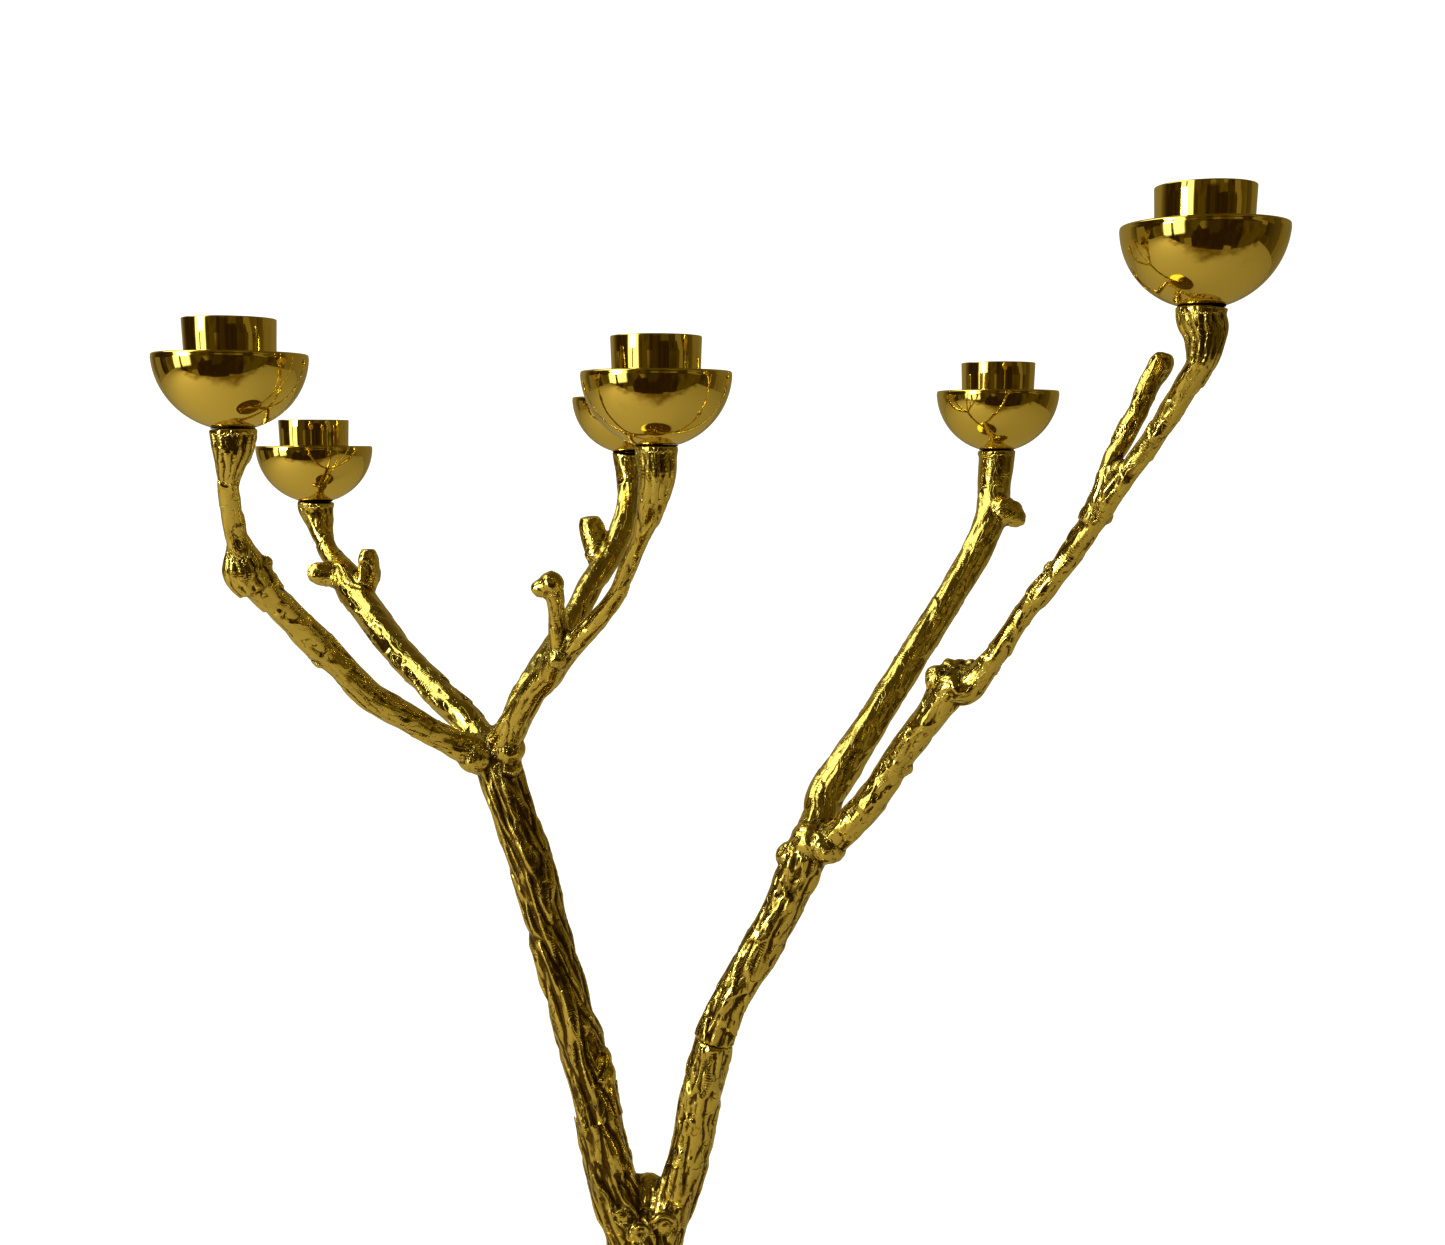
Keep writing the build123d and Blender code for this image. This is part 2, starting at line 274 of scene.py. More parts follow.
def sums(tree, operation, *values):
    """The result of one Math node."""
    return output(tree, "ShaderNodeMath", dict(enumerate(values)), operation=operation)


def plus(tree, value, *more):
    """The sum of the values."""
    for other in more:
        value = sums(tree, "ADD", value, other)
    return value


def minus(tree, value, other):
    """The first value less the other."""
    return sums(tree, "SUBTRACT", value, other)


def times(tree, value, *more):
    """The product of the values."""
    for other in more:
        value = sums(tree, "MULTIPLY", value, other)
    return value


def vectors(tree, operation, *values, result=0):
    """One output of a Vector Math node; a plain number goes to its Scale."""
    inputs = {}
    for index, value in enumerate(values):
        inputs["Scale" if operation == "SCALE" and index == 1 else index] = value
    return node(tree, "ShaderNodeVectorMath", inputs, operation=operation).outputs[result]


def parts_of(tree, vector):
    """The X, Y and Z of a vector."""
    return node(tree, "ShaderNodeSeparateXYZ", {0: vector}).outputs


def object_place(tree):
    """Place on the piece, in the piece's own frame."""
    return tree.nodes.new("ShaderNodeTexCoord").outputs["Object"]


def ramp(tree, value, low, high, bottom=0.0, top=1.0):
    """A smooth step of a value from bottom to top."""
    inputs = {"Value": value, 1: low, 2: high, 3: bottom, 4: top}
    return output(tree, "ShaderNodeMapRange", inputs, interpolation_type="SMOOTHSTEP")


def noise(tree, vector, scale, detail=2.0, roughness=0.5, distortion=0.0):
    """One noise value."""
    inputs = {"Vector": vector, "Scale": scale, "Detail": detail, "Roughness": roughness}
    return output(tree, "ShaderNodeTexNoise", {**inputs, "Distortion": distortion})


def mixed(tree, share, first, second):
    """One colour turning into another."""
    return node(tree, "ShaderNodeMix", {0: share, 6: first, 7: second}, data_type="RGBA").outputs[2]


def socket(tree, name, kind, way="INPUT", value=None):
    """A named input or output of a node group."""
    made = tree.interface.new_socket(name=name, in_out=way, socket_type="NodeSocket" + kind)
    if value is not None:
        made.default_value = value
    return made


def geometry_tree(name, inputs):
    """A Geometry Nodes tree with its named inputs; returns the tree and its input node's sockets."""
    tree = bpy.data.node_groups.new(name, "GeometryNodeTree")
    socket(tree, "Geometry", "Geometry")
    socket(tree, "Geometry", "Geometry", "OUTPUT")
    for label, kind, value in inputs:
        socket(tree, label, kind, value=value)
    return tree, tree.nodes.new("NodeGroupInput").outputs


def close_tree(tree, geometry, material=None):
    """Ends a tree in Realize Instances and, where it has a material, Set Material."""
    last = output(tree, "GeometryNodeRealizeInstances", {"Geometry": geometry})
    if material is not None:
        last = output(tree, "GeometryNodeSetMaterial", {"Geometry": last, "Material": material})
    tree.links.new(last, tree.nodes.new("NodeGroupOutput").inputs[0])


def grown(obj, tree, values):
    """Runs a tree on an object and returns the result as a plain mesh; the object is removed."""
    modifier = obj.modifiers.new(tree.name, "NODES")
    modifier.node_group = tree
    for item in tree.interface.items_tree:
        if item.in_out == "INPUT" and item.name in values:
            modifier[item.identifier] = values[item.name]
    return evaluated(obj)


def evaluated(obj):
    """The object's mesh with its modifiers carried out; the object is removed."""
    bpy.context.view_layer.update()
    graph = bpy.context.evaluated_depsgraph_get()
    mesh = bpy.data.meshes.new_from_object(
        obj.evaluated_get(graph), preserve_all_data_layers=True, depsgraph=graph)
    bpy.data.objects.remove(obj)
    return mesh


def shown(name, data):
    """A new object in the scene."""
    made = bpy.data.objects.new(name, data)
    bpy.context.scene.collection.objects.link(made)
    return made


def mesh_of(made, name):
    """A finished bmesh as a mesh."""
    mesh = bpy.data.meshes.new(name)
    made.to_mesh(mesh)
    made.free()
    return mesh


def fitted(piece, material, body, stands_for):
    """Gives a finished piece its material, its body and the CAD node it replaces."""
    if material is not None:
        piece.data.materials.append(material)
    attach(piece, body)
    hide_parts(stands_for)


# ---- geometry trees

def stored(tree, geometry, name, value, kind="FLOAT"):
    """The geometry with one named attribute stored on its points."""
    inputs = {"Geometry": geometry, "Name": name, "Value": value}
    return output(tree, "GeometryNodeStoreNamedAttribute", inputs, data_type=kind, domain="POINT")


def named(tree, name, kind="FLOAT"):
    """A named attribute of the geometry."""
    return output(tree, "GeometryNodeInputNamedAttribute", {"Name": name}, data_type=kind)


def guide_tree():
    """A round stretch of branch along a curve, carrying its straightened place, its way and its style."""
    tree, given = geometry_tree("branch_guide", [
        ("Start", "Float", 0.0), ("End", "Float", 1.0), ("Step", "Float", GUIDE_STEP),
        ("Sides", "Int", GUIDE_SIDES), ("Style", "Vector", (0, 0, 0)), ("Flutes", "Float", 0.0),
    ])
    curve = {"Curve": given["Geometry"]}
    line = output(tree, "GeometryNodeCurveSplineType", curve, spline_type="CATMULL_ROM")
    line = output(tree, "GeometryNodeSetSplineResolution", {"Geometry": line, "Resolution": 24})
    even = {"Curve": line, "Length": given["Step"]}
    line = output(tree, "GeometryNodeResampleCurve", even, mode="LENGTH")
    length = tree.nodes.new("GeometryNodeSplineParameter").outputs["Length"]
    line = stored(tree, line, "along", length)
    kept = {0: line, 4: given["Start"], 5: given["End"]}
    line = output(tree, "GeometryNodeTrimCurve", kept, mode="LENGTH")
    line = stored(tree, line, "way", output(tree, "GeometryNodeInputTangent"), VECTOR)
    line = stored(tree, line, "girth", output(tree, "GeometryNodeInputRadius"))
    ring = output(tree, "GeometryNodeCurvePrimitiveCircle", {"Resolution": given["Sides"], "Radius": 1.0})
    ring = stored(tree, ring, "rim", output(tree, "GeometryNodeInputPosition"), VECTOR)
    skin = output(
        tree, "GeometryNodeCurveToMesh",
        {"Curve": line, "Profile Curve": ring, "Scale": named(tree, "girth"), "Fill Caps": True})
    flat = vectors(tree, "SCALE", named(tree, "rim", VECTOR), named(tree, "girth"))
    rise = output(tree, "ShaderNodeCombineXYZ", {"Z": named(tree, "along")})
    skin = stored(tree, skin, "place", vectors(tree, "ADD", flat, rise), VECTOR)
    skin = stored(tree, skin, "style", given["Style"], VECTOR)
    skin = stored(tree, skin, "flutes", given["Flutes"])
    close_tree(tree, skin)
    return tree


def blurred(tree, value, rounds, kind="FLOAT"):
    """A value evened out with its neighbours a number of times."""
    return output(tree, "GeometryNodeBlurAttribute", {"Value": value, "Iterations": rounds}, data_type=kind)


def hollow_measure(tree, rounds, depth):
    """How deep a point lies in a hollow: 0 on flats, 1 at the given depth below its surroundings."""
    position = output(tree, "GeometryNodeInputPosition")
    normal = output(tree, "GeometryNodeInputNormal")
    around = blurred(tree, position, rounds, VECTOR)
    rise = vectors(tree, "DOT_PRODUCT", vectors(tree, "SUBTRACT", around, position), normal, result=1)
    return sums(tree, "DIVIDE", rise, depth)


def fillet_tree():
    """Eases the remeshed skin and fills the crotches where branches meet."""
    tree, given = geometry_tree(
        "crotch_fillet", [("Ease", "Int", 3), ("Fill", "Int", 46), ("Depth", "Float", 0.25 * MM)])
    position = output(tree, "GeometryNodeInputPosition")
    eased = blurred(tree, position, given["Ease"], VECTOR)
    filled = blurred(tree, position, given["Fill"], VECTOR)
    crease = hollow_measure(tree, 6, given["Depth"])
    spread = blurred(tree, sums(tree, "MAXIMUM", crease, 0.0), 8)
    share = sums(tree, "MINIMUM", times(tree, spread, 2.0), 1.0)
    place = node(tree, "ShaderNodeMix", {0: share, 4: eased, 5: filled}, data_type="VECTOR").outputs[1]
    skin = output(tree, "GeometryNodeSetPosition", {"Geometry": given["Geometry"], "Position": place})
    close_tree(tree, skin)
    return tree


def contour(tree, field, level, width):
    """1 on the contour of a field at a level, falling to 0 beside it."""
    off = sums(tree, "ABSOLUTE", minus(tree, field, level))
    return minus(tree, 1.0, ramp(tree, off, 0.0, width))


def bark_plates(tree, first, second):
    """Long overlapping scales with a raised lip, and narrow grooves that wander between them."""
    lip = times(tree, contour(tree, first, 0.55, 0.08), 0.75)
    scales = plus(tree, ramp(tree, first, 0.45, 0.53, -0.45, 0.25), lip)
    scales = plus(tree, scales, ramp(tree, first, 0.60, 0.75, 0.0, -0.4))
    scales = minus(tree, scales, times(tree, contour(tree, second, 0.50, 0.09), 1.2))
    scales = plus(tree, scales, times(tree, contour(tree, second, 0.66, 0.07), 0.6))
    return plus(tree, scales, times(tree, minus(tree, second, 0.5), 1.4))


def chisel_facets(tree, spot, crinkled):
    """Flat strokes of a chisel, each tipped its own way."""
    bent = node(tree, "ShaderNodeTexNoise", {"Vector": spot, "Scale": 0.7, "Detail": 0.0}).outputs["Color"]
    bend = vectors(tree, "SCALE", vectors(tree, "SUBTRACT", bent, (0.5, 0.5, 0.5)), 0.9)
    spot = vectors(tree, "ADD", spot, bend)
    cell = node(tree, "ShaderNodeTexVoronoi", {"Vector": spot, "Scale": 1.0}, feature="F1").outputs
    tip = vectors(tree, "SUBTRACT", cell["Color"], (0.5, 0.5, 0.5))
    slope = vectors(tree, "DOT_PRODUCT", vectors(tree, "SUBTRACT", spot, cell["Position"]), tip, result=1)
    facets = plus(tree, times(tree, slope, 1.7), times(tree, cell["Distance"], 0.4))
    crinkle = minus(tree, noise(tree, crinkled, 1.6, 1.0, 0.5), 0.5)
    return plus(tree, minus(tree, facets, 0.2), times(tree, crinkle, 0.35))


def tip_flutes(tree, place, count):
    """Narrow grooves side by side, wandering a little and fading in places."""
    round_x, round_y, _ = parts_of(tree, place)
    turn = times(tree, sums(tree, "ARCTAN2", round_y, round_x), times(tree, count, 0.5))
    wander = minus(tree, noise(tree, place, 260.0, 1.0), 0.5)
    wave = sums(tree, "ABSOLUTE", sums(tree, "SINE", plus(tree, turn, times(tree, wander, 2.6))))
    grooves = minus(tree, ramp(tree, wave, 0.0, 0.75), 0.8)
    return times(tree, grooves, ramp(tree, noise(tree, place, 150.0, 1.0), 0.30, 0.50, 0.35, 1.0))


def relief_tree():
    """Raises bark plates, facets, flutes and slow lumps on a skin, read along the branches under it."""
    tree, given = geometry_tree("bark_relief", [
        ("Guides", "Object", None), ("Plate Width", "Float", 7.4 * MM), ("Plate Length", "Float", 34 * MM),
        ("Facet Width", "Float", 5.4 * MM), ("Facet Length", "Float", 10.5 * MM), ("Flutes", "Int", 13),
        ("Twist", "Float", 0.010 / MM), ("Seed", "Float", 0.0), ("Depth", "Float", MM),
        ("Soften", "Int", 1), ("Material", "Material", None),
    ])
    guides = node(tree, "GeometryNodeObjectInfo", {"Object": given["Guides"]}).outputs["Geometry"]

    def read(name, kind=VECTOR):
        """The guides' value at the nearest point of their surface."""
        inputs = {"Mesh": guides, "Value": named(tree, name, kind)}
        return output(tree, "GeometryNodeSampleNearestSurface", inputs, data_type=kind)

    place, way, style, flute_depth = read("place"), read("way"), read("style"), read("flutes", "FLOAT")
    depth = parts_of(tree, style)
    along = parts_of(tree, place)[2]
    turn = {"Vector": place, "Angle": times(tree, along, given["Twist"])}
    twisted = output(tree, "ShaderNodeVectorRotate", turn, rotation_type="Z_AXIS")

    def cells(kind, shift):
        """Place counted in plates or facets, shifted by the seed."""
        across = sums(tree, "DIVIDE", 1.0, given[kind + " Width"])
        up = sums(tree, "DIVIDE", 1.0, given[kind + " Length"])
        size = output(tree, "ShaderNodeCombineXYZ", {0: across, 1: across, 2: up})
        seed = output(tree, "ShaderNodeCombineXYZ", {2: plus(tree, given["Seed"], shift)})
        return vectors(tree, "ADD", vectors(tree, "MULTIPLY", twisted, size), seed)

    plates = bark_plates(
        tree, noise(tree, cells("Plate", 0.0), 1.0, 1.0, 0.4, 0.3),
        noise(tree, cells("Plate", 31.0), 1.25, 1.0, 0.4, 0.3))
    facets = chisel_facets(tree, cells("Facet", 11.0), cells("Facet", 5.0))
    flutes = tip_flutes(tree, place, given["Flutes"])
    lumps = minus(tree, noise(tree, place, 85.0, 1.0), 0.5)

    rise = times(tree, depth[0], plates)
    rise = plus(tree, rise, times(tree, depth[1], facets))
    rise = plus(tree, rise, times(tree, depth[2], times(tree, lumps, 3.0)))
    rise = plus(tree, rise, times(tree, flute_depth, flutes))
    rise = blurred(tree, rise, given["Soften"])
    normal = output(tree, "GeometryNodeInputNormal")
    endwise = vectors(tree, "SCALE", way, vectors(tree, "DOT_PRODUCT", normal, way, result=1))
    out = vectors(tree, "SUBTRACT", normal, endwise)
    offset = vectors(tree, "SCALE", out, times(tree, rise, given["Depth"]))
    skin = output(tree, "GeometryNodeSetPosition", {"Geometry": given["Geometry"], "Offset": offset})
    skin = stored(tree, skin, "recess", hollow_measure(tree, 7, HOLLOW_DEPTH))
    skin = stored(tree, skin, "bark", depth[0])
    skin = stored(tree, skin, "along", along)
    skin = stored(tree, skin, "grain", twisted, VECTOR)
    skin = output(tree, "GeometryNodeSetShadeSmooth", {"Geometry": skin})
    close_tree(tree, skin, given["Material"])
    return tree


# ---- castings

def scaled(stations):
    """Stations in metres."""
    return [[value * MM for value in station] for station in stations]


def stretch(stations, style, start=0.0, end=FAR_END):
    """One branch as a guide object: its curve through the stations, swept by the guide tree."""
    curve = bpy.data.curves.new("stretch", "CURVE")
    curve.dimensions = "3D"
    spline = curve.splines.new("POLY")
    spline.points.add(len(stations) - 1)
    for point, (x, y, z, radius) in zip(spline.points, stations):
        point.co = (x, y, z, 1)
        point.radius = radius
    sizes = {"Start": start, "End": end, "Style": style[:3], "Flutes": style[3]}
    return shown("stretch", grown(shown("stretch", curve), GUIDE, sizes))


def burl(x, y, z, radius, style):
    """A small round swelling as a guide object."""
    made = bmesh.new()
    bmesh.ops.create_icosphere(made, subdivisions=4, radius=radius, matrix=Matrix.Translation((x, y, z)))
    mesh = mesh_of(made, "burl")
    count = len(mesh.vertices)
    for name, value in (("place", None), ("way", (0, 0, 0)), ("style", style[:3])):
        layer = mesh.attributes.new(name, VECTOR, "POINT")
        for index in range(count):
            layer.data[index].vector = mesh.vertices[index].co if value is None else value
    mesh.attributes.new("flutes", "FLOAT", "POINT")
    return shown("burl", mesh)


def joined(objects):
    """Several objects as one."""
    first = objects[0]
    with bpy.context.temp_override(
            active_object=first, object=first, selected_objects=objects, selected_editable_objects=objects):
        bpy.ops.object.join()
    return first


def cut_at_seam(made, point, way):
    """Cuts off what runs past a seam, near that seam only, and closes the cut."""
    near = []
    for face in made.faces:
        off = face.calc_center_median() - point
        ahead = off.dot(way)
        if -MM < ahead < 3 * SEAM_OVERRUN and (off - way * ahead).length < SEAM_REACH:
            near.append(face)
    geometry = set(near)
    for face in near:
        geometry.update(face.edges)
        geometry.update(face.verts)
    bmesh.ops.bisect_plane(
        made, geom=list(geometry), plane_co=point, plane_no=way, clear_outer=True, dist=0.01 * MM)
    rim = [edge for edge in made.edges if edge.is_boundary]
    for face in bmesh.ops.holes_fill(made, edges=rim, sides=0)["faces"]:
        face.smooth = False
    for edge in rim:
        if edge.is_valid:
            edge.smooth = False


def casting(node_name, guides, seams, material):
    """One casting: its stretches and burls made one skin, given its relief, and cut at its seams."""
    guide = joined(guides)
    skin = shown("skin", guide.data.copy())
    remesh = skin.modifiers.new("one_skin", "REMESH")
    remesh.mode = "VOXEL"
    remesh.voxel_size = SKIN_STEP
    skin = shown("skin", evaluated(skin))
    skin = shown("skin", grown(skin, FILLET, {}))
    mesh = grown(skin, RELIEF, {"Guides": guide, "Seed": RELIEF_SEED, "Material": material})
    made = bmesh.new()
    made.from_mesh(mesh)
    for point, way in seams:
        cut_at_seam(made, point, way)
    made.to_mesh(mesh)
    made.free()
    bpy.data.objects.remove(guide)
    fitted(shown(node_name + "_casting", mesh), None, "root", node_name)


def middle(node_name):
    """Centre of a CAD node's box."""
    low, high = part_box(node_name)
    return (low + high) / 2


def side_of(arm):
    """The limb whose knuckle an arm springs from."""
    return "right" if arm.startswith("right") else "left"


def seat_of(arm):
    """Where an arm's root meets its knuckle, and the way the arm leaves it."""
    knuckle = LEFT_KNUCKLE if side_of(arm) == "left" else RIGHT_KNUCKLE
    point = middle("arm_peg_" + arm)
    return point, (point - Vector(knuckle) * MM).normalized()


def arm_stations(arm):
    """An arm's whole line, from inside its knuckle to its flat tip."""
    point, way = seat_of(arm)
    girth = ROOT_RADIUS.get(arm, USUAL_ROOT_RADIUS) * MM
    root = [[*(point - way * ROOT_REACH), girth + 0.4 * MM], [*point, girth]]
    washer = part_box("cup_washer_" + arm)[0]
    axis = middle("cup_washer_" + arm)
    radius = TIP_RADIUS.get(arm, USUAL_TIP_RADIUS)
    tip = [axis.x, axis.y, washer.z, radius * MM]
    below = [axis.x, axis.y, washer.z - 3 * MM, (radius - 0.4) * MM]
    return root + scaled(ARMS[arm]) + [below, tip]


def burls_of(name):
    """The burls of one casting."""
    return [burl(*values, KNOT) for values in scaled(BURLS.get(name, []))]


def run_between(stations, count):
    """The length along the first few stations."""
    points = [Vector(station[:3]) for station in stations[:count]]
    return sum((after - before).length for before, after in zip(points, points[1:]))


def way_along(before, after):
    """The way from one station to another."""
    return (Vector(after[:3]) - Vector(before[:3])).normalized()


def make_trunk(left, seam, seam_run, material):
    """The trunk with its fork, root spurs, burls and scars, up to the left limb's seam."""
    guides = [
        stretch(scaled(TRUNK), BARK), stretch(left, BARK, 0.0, seam_run + SEAM_OVERRUN),
        stretch(scaled(RIGHT_FOOT), CHISELLED), stretch(scaled(CROTCH), CROTCH_FACE),
    ]
    guides += [stretch(root, BARK) for root in roots()] + burls_of("trunk")
    guides += [stretch(scar(*values), PLAIN) for values in scaled(SCARS)]
    casting("trunk", guides, [seam], material)


def make_arm(arm, stations, point, way, material):
    """One arm from its root seam to its filed tip, with its twigs and burls."""
    style = ARM_STYLE[arm]
    root_run = run_between(stations, 2)
    run = run_between(stations, len(stations))
    guides = [
        stretch(stations, style, root_run - SEAM_OVERRUN, run - TIP_RUN),
        stretch(stations, TIP_STYLE.get(arm, style), run - TIP_RUN, run - TIP_FACE),
        stretch(stations, PLAIN, run - TIP_FACE),
    ]
    guides += [stretch(scaled(twig), style) for twig in TWIGS.get(arm, [])] + burls_of(arm)
    if arm == "left_front":
        guides.append(stretch(scaled(BUD), FLUTED))
    casting("arm_" + arm, guides, [(point, -way)], material)


def make_castings(material):
    """Trunk, the six arms and both limbs, whose knuckles hold the arms' roots."""
    left, right = scaled(LEFT_LIMB), scaled(RIGHT_LIMB)
    seam_run = run_between(left, LEFT_SEAM_STATION + 1)
    seam = middle("left_limb_stud")
    seam_way = way_along(left[LEFT_SEAM_STATION - 1], left[LEFT_SEAM_STATION + 1])
    make_trunk(left, (seam, seam_way), seam_run, material)

    parts = {
        "left": [stretch(left, BARK, seam_run - SEAM_OVERRUN)] + burls_of("left_limb"),
        "right": [stretch(right, CHISELLED)] + burls_of("right_limb"),
    }
    seams = {"left": [(seam, -seam_way)], "right": []}
    for arm in ARMS:
        side, stations = side_of(arm), arm_stations(arm)
        point, way = seat_of(arm)
        parts[side].append(stretch(stations, ARM_STYLE[arm], 0.0, run_between(stations, 2) + SEAM_OVERRUN))
        seams[side].append((point, way))
        make_arm(arm, stations, point, way, material)
    for side in parts:
        casting(side + "_limb", parts[side], seams[side], material)


def scar(x, y, z, wide):
    """The raised ring left round a cut-off twig, facing the front."""
    ring = []
    for step in range(11):
        angle = math.tau * step / 10
        across, up = math.cos(angle), math.sin(angle)
        ring.append([x + wide * across, y - 0.2 * wide * up, z + wide * up, 0.34 * wide])
    return ring


def roots():
    """Short root spurs round the foot of the trunk, easing it onto the base."""
    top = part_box("base_dome")[1].z
    made = []
    for index, (turn, reach) in enumerate(SPURS):
        spur = []
        for share, height, radius in SPUR_LINE:
            bend = math.radians(turn) + SPUR_BEND * share * (1 if index % 2 else -1)
            out = reach * share
            x, y = out * math.cos(bend) * MM, out * math.sin(bend) * MM
            spur.append([x, y, top + height * MM, radius * MM])
        made.append(spur)
    return made


# ---- turned parts

def turned(name, outline, centre=(0, 0, 0), sides=160):
    """A closed turned piece from its (radius, height) outline, listed upwards on the outside."""
    made = bmesh.new()
    rings = []
    for radius, height in outline:
        if radius < 1e-9:
            rings.append([made.verts.new((centre[0], centre[1], centre[2] + height))])
            continue
        ring = []
        for side in range(sides):
            angle = math.tau * side / sides
            x, y = centre[0] + radius * math.cos(angle), centre[1] + radius * math.sin(angle)
            ring.append(made.verts.new((x, y, centre[2] + height)))
        rings.append(ring)
    for low, high in zip(rings, rings[1:] + rings[:1]):
        for side in range(sides):
            after = (side + 1) % sides
            lower = (low[side % len(low)], low[after % len(low)])
            upper = (high[after % len(high)], high[side % len(high)])
            corners = list(dict.fromkeys(lower + upper))
            if len(corners) > 2:
                made.faces.new(corners)
    bmesh.ops.recalc_face_normals(made, faces=made.faces)
    for edge in made.edges:
        edge.smooth = edge.calc_face_angle(0.0) < SHARP_EDGE
    for face in made.faces:
        face.smooth = True
    return shown(name, mesh_of(made, name))


def arc(radius, start, end, steps, centre=(0, 0)):
    """Points of an arc in the outline, angles in degrees from the outward level."""
    points = []
    for step in range(steps + 1):
        angle = math.radians(start + (end - start) * step / steps)
        points.append((centre[0] + radius * math.cos(angle), centre[1] + radius * math.sin(angle)))
    return points


def bowl_outline(radius, seat, wall):
    """Hemispherical bowl about its rim centre: seat, outer curve, rounded rim, inner curve, floor."""
    lip = wall / 2
    start = -math.degrees(math.acos(seat / radius))
    inner = radius - wall
    floor = -math.sqrt(radius**2 - seat**2) + wall
    inner_end = -math.degrees(math.asin(-floor / inner))
    outline = [(STUD_HOLE, floor - wall), (seat - 0.2 * MM, floor - wall)]
    outline += arc(radius, start, -3, 40)
    outline += arc(lip * 0.9, -20, 160, 10, (radius - lip, -lip * 0.9))
    outline += arc(inner, -4, inner_end, 34)
    outline += [(STUD_HOLE, floor)]
    return outline


def socket_outline(top, rise, foot, bore, depth):
    """Turned socket about the bowl's rim centre: foot, shoulder, tapered wall, lip, bore and floor."""
    low, lip = SOCKET_LOW_RADIUS, SOCKET_LIP
    floor = rise - depth
    outline = [(STUD_HOLE, foot), (5.3 * MM, foot), (5.7 * MM, foot + 0.3 * MM)]
    outline += [
        (low - 1.2 * MM, -14.2 * MM), (low - 0.4 * MM, -13.4 * MM), (low, -12.0 * MM), (low, -6 * MM),
        (low, 0)]
    outline += [(low + (top - low) * 0.5, rise * 0.5), (top, rise - lip)]
    outline += arc(lip, 30, 90, 4, (top - lip, rise - lip))
    outline += arc(lip * 0.8, 90, 170, 4, (bore + lip * 0.8, rise - lip * 0.8))
    outline += [(bore, rise * 0.4), (bore, rise - depth * 0.7), (bore, floor + 0.4 * MM)]
    outline += [(bore - 0.5 * MM, floor), (4 * MM, floor - 0.05 * MM), (0, floor - 0.05 * MM)]
    outline += [(0, foot + STUD_TAP), (STUD_HOLE, foot + STUD_TAP)]
    return outline


def make_cup(arm, rim, body, material):
    """One drip bowl and the candle socket screwed down in it."""
    bore = next(
        mount for mount in frame["record"]["mounts"] if mount["name"] == "candle_bore_" + arm)["dims"]
    bowl_low, bowl_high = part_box("drip_bowl_" + arm)
    cup_low, cup_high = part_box("candle_socket_" + arm)
    radius = (bowl_high.x - bowl_low.x) / 2
    seat = math.sqrt(radius**2 - (rim[2] - bowl_low.z) ** 2)
    bowl = turned("bowl_" + arm, bowl_outline(radius, seat, cup_low.z - bowl_low.z), rim, 192)
    fitted(bowl, material, body, "drip_bowl_" + arm)
    bore_radius, depth = bore["r_mm"] * MM, bore["length_mm"] * MM
    top, rise, foot = (cup_high.x - cup_low.x) / 2, cup_high.z - rim[2], cup_low.z - rim[2]
    outline = socket_outline(top, rise, foot, bore_radius, depth)
    fitted(turned("socket_" + arm, outline, rim), material, body, "candle_socket_" + arm)


def make_washer(arm, rim, material):
    """The thin black washer between an arm's tip and its bowl."""
    low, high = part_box("cup_washer_" + arm)
    half, thick = (high.x - low.x) / 2, high.z - low.z
    edge = thick / 2
    outline = [(STUD_HOLE, 0), (half - edge, 0)] + arc(edge, -80, 80, 8, (half - edge, edge))
    outline += [(half - edge, thick), (STUD_HOLE, thick)]
    washer = turned("washer_" + arm, outline, (rim[0], rim[1], low.z), 64)
    fitted(washer, material, "root", "cup_washer_" + arm)


def make_cups(material, washer_material):
    """The turned drip bowls and sockets, and the black washer under each bowl."""
    for joint in frame["joints"]:
        arm = joint["name"].replace("cup_turn_", "")
        make_cup(arm, joint["pos_m"], joint["child"], material)
        make_washer(arm, joint["pos_m"], washer_material)


def make_base(material, felt_material):
    """The low turned dome with its stepped edge, and the felt under it."""
    low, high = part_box("base_dome")
    felt_low, felt_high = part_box("base_felt")
    radius = (high.x - low.x) / 2
    sag = high.z - low.z - BASE_EDGE
    curve = (radius**2 + sag**2) / (2 * sag)
    inset = radius - BASE_ROUND
    outline = [(0, low.z), (radius - 1.0 * MM, low.z)]
    outline += arc(BASE_ROUND, -70, 0, 5, (inset, low.z + BASE_ROUND))
    outline += arc(BASE_ROUND, 0, 75, 6, (inset, low.z + BASE_EDGE - BASE_ROUND))
    for share in [step / 40 for step in range(39, -1, -1)]:
        out = radius * share
        outline.append((out, high.z - curve + math.sqrt(curve**2 - out**2)))
    fitted(turned("base_disc", outline, sides=256), material, "root", "base_dome")
    wide = (felt_high.x - felt_low.x) / 2
    outline = [(0, 0), (wide - FELT_ROUND, 0)] + arc(FELT_ROUND, -80, 0, 5, (wide - FELT_ROUND, FELT_ROUND))
    outline += [(wide, felt_high.z), (0, felt_high.z)]
    fitted(turned("felt_pad", outline), felt_material, "root", "base_felt")


# ---- shader groups

def shader_group(name, inputs, outputs):
    """A shader node group with its named sockets; returns it, its input sockets and its last node."""
    tree = bpy.data.node_groups.new(name, "ShaderNodeTree")
    for label, kind, value in inputs:
        socket(tree, label, kind, value=value)
    for label, kind in outputs:
        socket(tree, label, kind, "OUTPUT")
    return tree, tree.nodes.new("NodeGroupInput").outputs, tree.nodes.new("NodeGroupOutput")


